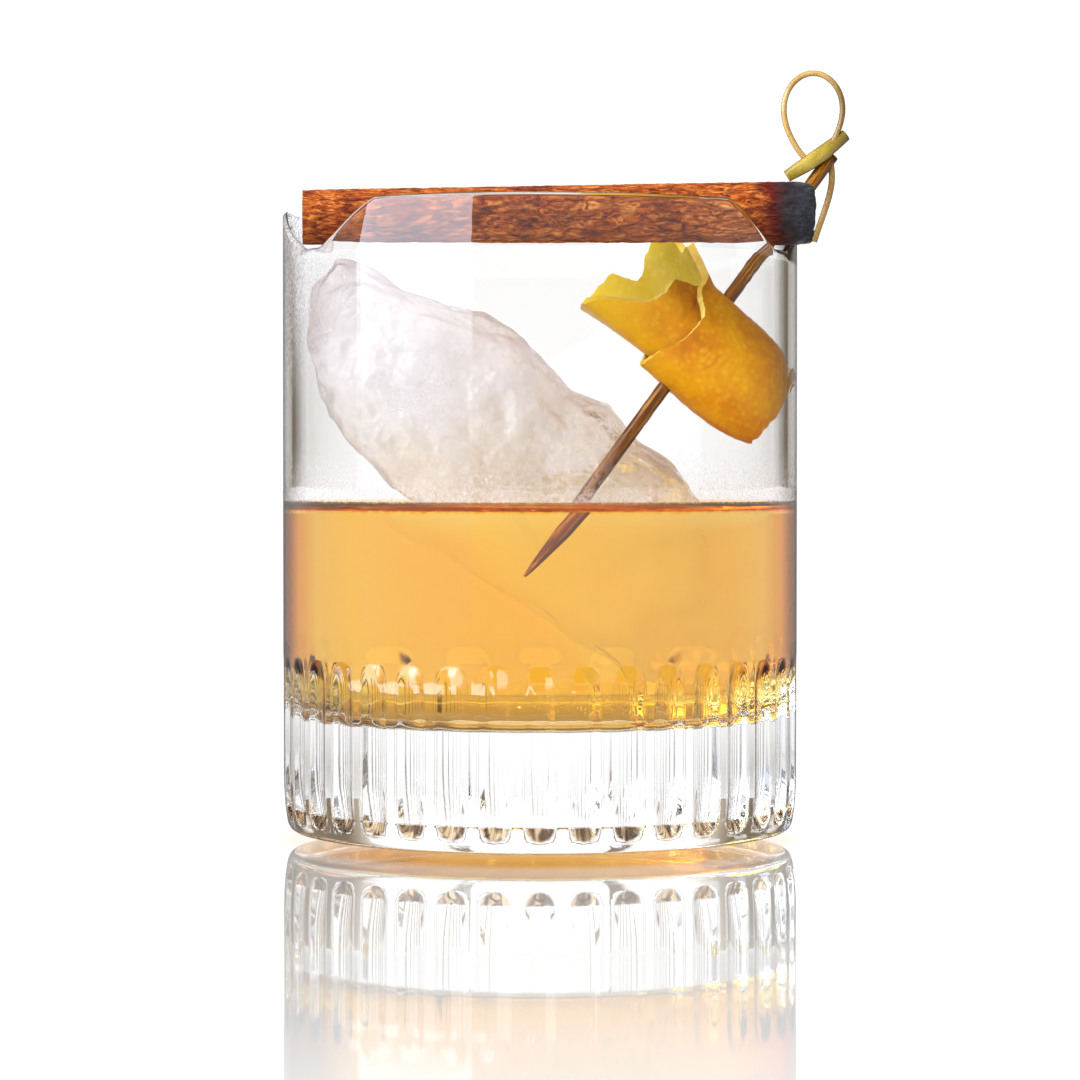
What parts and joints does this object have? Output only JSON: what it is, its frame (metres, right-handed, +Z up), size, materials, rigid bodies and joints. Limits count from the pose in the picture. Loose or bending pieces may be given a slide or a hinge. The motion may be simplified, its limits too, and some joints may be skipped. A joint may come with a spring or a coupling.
{
  "type": "mezcal cocktail in a fluted tumbler",
  "caption": "Short amber cocktail in a clear straight tumbler with a fluted base, with a large ice chunk, a cinnamon stick across the notched rim and a peel curl on a knotted pick.",
  "frame": {"origin": "middle of the glass's flat underside", "axes": "+Z up, -Y towards the viewer, +X towards the side on which the pick's knot stands over the rim"},
  "size_m": [0.0904, 0.082, 0.121],
  "materials": {
    "clear_glass": "polished, colourless",
    "amber_drink": "clear amber liquid",
    "ice": "wet, clear outside and cloudy inside",
    "cinnamon_bark": "dry rolled bark, charred at one end",
    "bamboo": "smooth split bamboo, browned stem",
    "citrus_peel": "waxy pitted rind"
  },
  "bodies": {
    "root": {"glass": "clear_glass", "drink": "amber_drink", "ice": "ice", "cinnamon_stick": "cinnamon_bark", "pick": "bamboo", "peel": "citrus_peel"}
  },
  "joints": []
}
